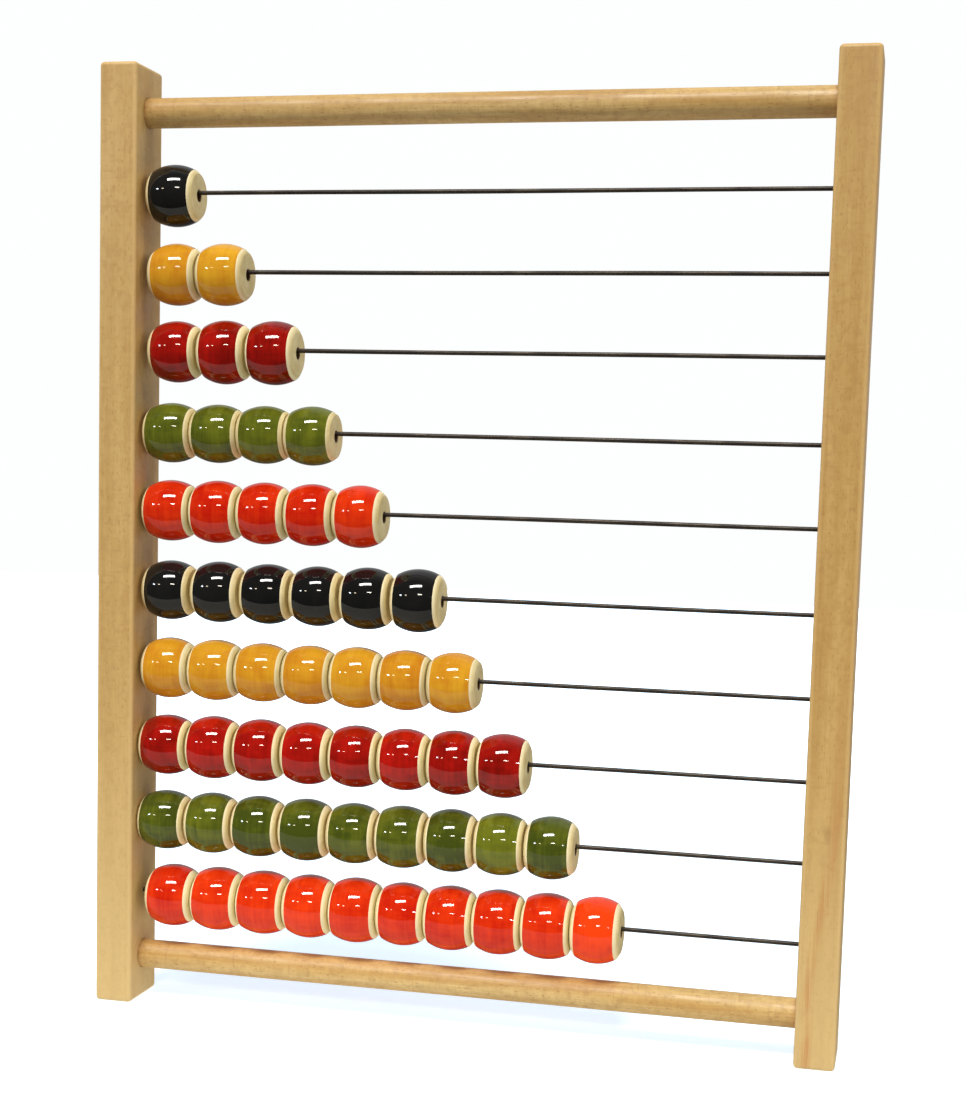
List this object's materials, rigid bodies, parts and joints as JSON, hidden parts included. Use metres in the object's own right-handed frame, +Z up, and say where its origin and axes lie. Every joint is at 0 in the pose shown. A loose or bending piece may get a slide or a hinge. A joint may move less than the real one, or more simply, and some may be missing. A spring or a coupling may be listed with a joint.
{
  "type": "abacus",
  "caption": "Free-standing wooden counting frame: barrel beads slide along steel wires set between two rectangular posts joined by dowel rails.",
  "frame": {"origin": "on the ground, midway between the posts and midway between front and back", "axes": "+X to the right along the wires, +Y to the back, +Z up; beads rest at the -X post"},
  "size_m": [0.319, 0.028, 0.4],
  "materials": {
    "beech": "clear satin varnish over pale straight-grained beech",
    "blackened_steel": "dark drawn steel wire, slightly dull",
    "lacquer_black": "turned wood with a glossy black lacquer band and bare ends",
    "lacquer_amber": "turned wood with a glossy amber lacquer band and bare ends",
    "lacquer_crimson": "turned wood with a glossy crimson lacquer band and bare ends",
    "lacquer_green": "turned wood with a glossy olive green lacquer band and bare ends",
    "lacquer_orange": "turned wood with a glossy orange-red lacquer band and bare ends"
  },
  "bodies": {
    "frame": {"left_post": "beech", "right_post": "beech", "top_rail": "beech", "bottom_rail": "beech", "wire_01": "blackened_steel", "wire_02": "blackened_steel", "wire_03": "blackened_steel", "wire_04": "blackened_steel", "wire_05": "blackened_steel", "wire_06": "blackened_steel", "wire_07": "blackened_steel", "wire_08": "blackened_steel", "wire_09": "blackened_steel", "wire_10": "blackened_steel"},
    "row_01_bead_01": {"row_01_bead_01": "lacquer_black"},
    "row_02_bead_01": {"row_02_bead_01": "lacquer_amber"},
    "row_02_bead_02": {"row_02_bead_02": "lacquer_amber"},
    "row_03_bead_01": {"row_03_bead_01": "lacquer_crimson"},
    "row_03_bead_02": {"row_03_bead_02": "lacquer_crimson"},
    "row_03_bead_03": {"row_03_bead_03": "lacquer_crimson"},
    "row_04_bead_01": {"row_04_bead_01": "lacquer_green"},
    "row_04_bead_02": {"row_04_bead_02": "lacquer_green"},
    "row_04_bead_03": {"row_04_bead_03": "lacquer_green"},
    "row_04_bead_04": {"row_04_bead_04": "lacquer_green"},
    "row_05_bead_01": {"row_05_bead_01": "lacquer_orange"},
    "row_05_bead_02": {"row_05_bead_02": "lacquer_orange"},
    "row_05_bead_03": {"row_05_bead_03": "lacquer_orange"},
    "row_05_bead_04": {"row_05_bead_04": "lacquer_orange"},
    "row_05_bead_05": {"row_05_bead_05": "lacquer_orange"},
    "row_06_bead_01": {"row_06_bead_01": "lacquer_black"},
    "row_06_bead_02": {"row_06_bead_02": "lacquer_black"},
    "row_06_bead_03": {"row_06_bead_03": "lacquer_black"},
    "row_06_bead_04": {"row_06_bead_04": "lacquer_black"},
    "row_06_bead_05": {"row_06_bead_05": "lacquer_black"},
    "row_06_bead_06": {"row_06_bead_06": "lacquer_black"},
    "row_07_bead_01": {"row_07_bead_01": "lacquer_amber"},
    "row_07_bead_02": {"row_07_bead_02": "lacquer_amber"},
    "row_07_bead_03": {"row_07_bead_03": "lacquer_amber"},
    "row_07_bead_04": {"row_07_bead_04": "lacquer_amber"},
    "row_07_bead_05": {"row_07_bead_05": "lacquer_amber"},
    "row_07_bead_06": {"row_07_bead_06": "lacquer_amber"},
    "row_07_bead_07": {"row_07_bead_07": "lacquer_amber"},
    "row_08_bead_01": {"row_08_bead_01": "lacquer_crimson"},
    "row_08_bead_02": {"row_08_bead_02": "lacquer_crimson"},
    "row_08_bead_03": {"row_08_bead_03": "lacquer_crimson"},
    "row_08_bead_04": {"row_08_bead_04": "lacquer_crimson"},
    "row_08_bead_05": {"row_08_bead_05": "lacquer_crimson"},
    "row_08_bead_06": {"row_08_bead_06": "lacquer_crimson"},
    "row_08_bead_07": {"row_08_bead_07": "lacquer_crimson"},
    "row_08_bead_08": {"row_08_bead_08": "lacquer_crimson"},
    "row_09_bead_01_02": {"row_09_bead_01_02": "lacquer_green"},
    "row_09_bead_03_04": {"row_09_bead_03_04": "lacquer_green"},
    "row_09_bead_05_06": {"row_09_bead_05_06": "lacquer_green"},
    "row_09_bead_07_08": {"row_09_bead_07_08": "lacquer_green"},
    "row_09_bead_09": {"row_09_bead_09": "lacquer_green"},
    "row_10_bead_01_02": {"row_10_bead_01_02": "lacquer_orange"},
    "row_10_bead_03_04": {"row_10_bead_03_04": "lacquer_orange"},
    "row_10_bead_05_06": {"row_10_bead_05_06": "lacquer_orange"},
    "row_10_bead_07_08": {"row_10_bead_07_08": "lacquer_orange"},
    "row_10_bead_09_10": {"row_10_bead_09_10": "lacquer_orange"}
  },
  "joints": [
    {"name": "row_01_bead_01_slide", "type": "slide", "parent": "frame", "child": "row_01_bead_01", "axis": [1, 0, 0], "range_m": [0, 0.26299]},
    {"name": "row_02_bead_01_slide", "type": "slide", "parent": "frame", "child": "row_02_bead_01", "axis": [1, 0, 0], "range_m": [0, 0.12035]},
    {"name": "row_02_bead_02_slide", "type": "slide", "parent": "row_02_bead_01", "child": "row_02_bead_02", "axis": [1, 0, 0], "range_m": [0, 0.12035]},
    {"name": "row_03_bead_01_slide", "type": "slide", "parent": "frame", "child": "row_03_bead_01", "axis": [1, 0, 0], "range_m": [0, 0.0727]},
    {"name": "row_03_bead_02_slide", "type": "slide", "parent": "row_03_bead_01", "child": "row_03_bead_02", "axis": [1, 0, 0], "range_m": [0, 0.0727]},
    {"name": "row_03_bead_03_slide", "type": "slide", "parent": "row_03_bead_02", "child": "row_03_bead_03", "axis": [1, 0, 0], "range_m": [0, 0.0727]},
    {"name": "row_04_bead_01_slide", "type": "slide", "parent": "frame", "child": "row_04_bead_01", "axis": [1, 0, 0], "range_m": [0, 0.05017]},
    {"name": "row_04_bead_02_slide", "type": "slide", "parent": "row_04_bead_01", "child": "row_04_bead_02", "axis": [1, 0, 0], "range_m": [0, 0.05017]},
    {"name": "row_04_bead_03_slide", "type": "slide", "parent": "row_04_bead_02", "child": "row_04_bead_03", "axis": [1, 0, 0], "range_m": [0, 0.05017]},
    {"name": "row_04_bead_04_slide", "type": "slide", "parent": "row_04_bead_03", "child": "row_04_bead_04", "axis": [1, 0, 0], "range_m": [0, 0.05017]},
    {"name": "row_05_bead_01_slide", "type": "slide", "parent": "frame", "child": "row_05_bead_01", "axis": [1, 0, 0], "range_m": [0, 0.03579]},
    {"name": "row_05_bead_02_slide", "type": "slide", "parent": "row_05_bead_01", "child": "row_05_bead_02", "axis": [1, 0, 0], "range_m": [0, 0.03579]},
    {"name": "row_05_bead_03_slide", "type": "slide", "parent": "row_05_bead_02", "child": "row_05_bead_03", "axis": [1, 0, 0], "range_m": [0, 0.03579]},
    {"name": "row_05_bead_04_slide", "type": "slide", "parent": "row_05_bead_03", "child": "row_05_bead_04", "axis": [1, 0, 0], "range_m": [0, 0.03579]},
    {"name": "row_05_bead_05_slide", "type": "slide", "parent": "row_05_bead_04", "child": "row_05_bead_05", "axis": [1, 0, 0], "range_m": [0, 0.03579]},
    {"name": "row_06_bead_01_slide", "type": "slide", "parent": "frame", "child": "row_06_bead_01", "axis": [1, 0, 0], "range_m": [0, 0.0255]},
    {"name": "row_06_bead_02_slide", "type": "slide", "parent": "row_06_bead_01", "child": "row_06_bead_02", "axis": [1, 0, 0], "range_m": [0, 0.0255]},
    {"name": "row_06_bead_03_slide", "type": "slide", "parent": "row_06_bead_02", "child": "row_06_bead_03", "axis": [1, 0, 0], "range_m": [0, 0.0255]},
    {"name": "row_06_bead_04_slide", "type": "slide", "parent": "row_06_bead_03", "child": "row_06_bead_04", "axis": [1, 0, 0], "range_m": [0, 0.0255]},
    {"name": "row_06_bead_05_slide", "type": "slide", "parent": "row_06_bead_04", "child": "row_06_bead_05", "axis": [1, 0, 0], "range_m": [0, 0.0255]},
    {"name": "row_06_bead_06_slide", "type": "slide", "parent": "row_06_bead_05", "child": "row_06_bead_06", "axis": [1, 0, 0], "range_m": [0, 0.0255]},
    {"name": "row_07_bead_01_slide", "type": "slide", "parent": "frame", "child": "row_07_bead_01", "axis": [1, 0, 0], "range_m": [0, 0.01949]},
    {"name": "row_07_bead_02_slide", "type": "slide", "parent": "row_07_bead_01", "child": "row_07_bead_02", "axis": [1, 0, 0], "range_m": [0, 0.01949]},
    {"name": "row_07_bead_03_slide", "type": "slide", "parent": "row_07_bead_02", "child": "row_07_bead_03", "axis": [1, 0, 0], "range_m": [0, 0.01949]},
    {"name": "row_07_bead_04_slide", "type": "slide", "parent": "row_07_bead_03", "child": "row_07_bead_04", "axis": [1, 0, 0], "range_m": [0, 0.01949]},
    {"name": "row_07_bead_05_slide", "type": "slide", "parent": "row_07_bead_04", "child": "row_07_bead_05", "axis": [1, 0, 0], "range_m": [0, 0.01949]},
    {"name": "row_07_bead_06_slide", "type": "slide", "parent": "row_07_bead_05", "child": "row_07_bead_06", "axis": [1, 0, 0], "range_m": [0, 0.01949]},
    {"name": "row_07_bead_07_slide", "type": "slide", "parent": "row_07_bead_06", "child": "row_07_bead_07", "axis": [1, 0, 0], "range_m": [0, 0.01949]},
    {"name": "row_08_bead_01_slide", "type": "slide", "parent": "frame", "child": "row_08_bead_01", "axis": [1, 0, 0], "range_m": [0, 0.01429]},
    {"name": "row_08_bead_02_slide", "type": "slide", "parent": "row_08_bead_01", "child": "row_08_bead_02", "axis": [1, 0, 0], "range_m": [0, 0.01429]},
    {"name": "row_08_bead_03_slide", "type": "slide", "parent": "row_08_bead_02", "child": "row_08_bead_03", "axis": [1, 0, 0], "range_m": [0, 0.01429]},
    {"name": "row_08_bead_04_slide", "type": "slide", "parent": "row_08_bead_03", "child": "row_08_bead_04", "axis": [1, 0, 0], "range_m": [0, 0.01429]},
    {"name": "row_08_bead_05_slide", "type": "slide", "parent": "row_08_bead_04", "child": "row_08_bead_05", "axis": [1, 0, 0], "range_m": [0, 0.01429]},
    {"name": "row_08_bead_06_slide", "type": "slide", "parent": "row_08_bead_05", "child": "row_08_bead_06", "axis": [1, 0, 0], "range_m": [0, 0.01429]},
    {"name": "row_08_bead_07_slide", "type": "slide", "parent": "row_08_bead_06", "child": "row_08_bead_07", "axis": [1, 0, 0], "range_m": [0, 0.01429]},
    {"name": "row_08_bead_08_slide", "type": "slide", "parent": "row_08_bead_07", "child": "row_08_bead_08", "axis": [1, 0, 0], "range_m": [0, 0.01429]},
    {"name": "row_09_bead_01_02_slide", "type": "slide", "parent": "frame", "child": "row_09_bead_01_02", "axis": [1, 0, 0], "range_m": [0, 0.01863]},
    {"name": "row_09_bead_03_04_slide", "type": "slide", "parent": "row_09_bead_01_02", "child": "row_09_bead_03_04", "axis": [1, 0, 0], "range_m": [0, 0.01863]},
    {"name": "row_09_bead_05_06_slide", "type": "slide", "parent": "row_09_bead_03_04", "child": "row_09_bead_05_06", "axis": [1, 0, 0], "range_m": [0, 0.01863]},
    {"name": "row_09_bead_07_08_slide", "type": "slide", "parent": "row_09_bead_05_06", "child": "row_09_bead_07_08", "axis": [1, 0, 0], "range_m": [0, 0.01863]},
    {"name": "row_09_bead_09_slide", "type": "slide", "parent": "row_09_bead_07_08", "child": "row_09_bead_09", "axis": [1, 0, 0], "range_m": [0, 0.01863]},
    {"name": "row_10_bead_01_02_slide", "type": "slide", "parent": "frame", "child": "row_10_bead_01_02", "axis": [1, 0, 0], "range_m": [0, 0.01457]},
    {"name": "row_10_bead_03_04_slide", "type": "slide", "parent": "row_10_bead_01_02", "child": "row_10_bead_03_04", "axis": [1, 0, 0], "range_m": [0, 0.01457]},
    {"name": "row_10_bead_05_06_slide", "type": "slide", "parent": "row_10_bead_03_04", "child": "row_10_bead_05_06", "axis": [1, 0, 0], "range_m": [0, 0.01457]},
    {"name": "row_10_bead_07_08_slide", "type": "slide", "parent": "row_10_bead_05_06", "child": "row_10_bead_07_08", "axis": [1, 0, 0], "range_m": [0, 0.01457]},
    {"name": "row_10_bead_09_10_slide", "type": "slide", "parent": "row_10_bead_07_08", "child": "row_10_bead_09_10", "axis": [1, 0, 0], "range_m": [0, 0.01457]}
  ]
}
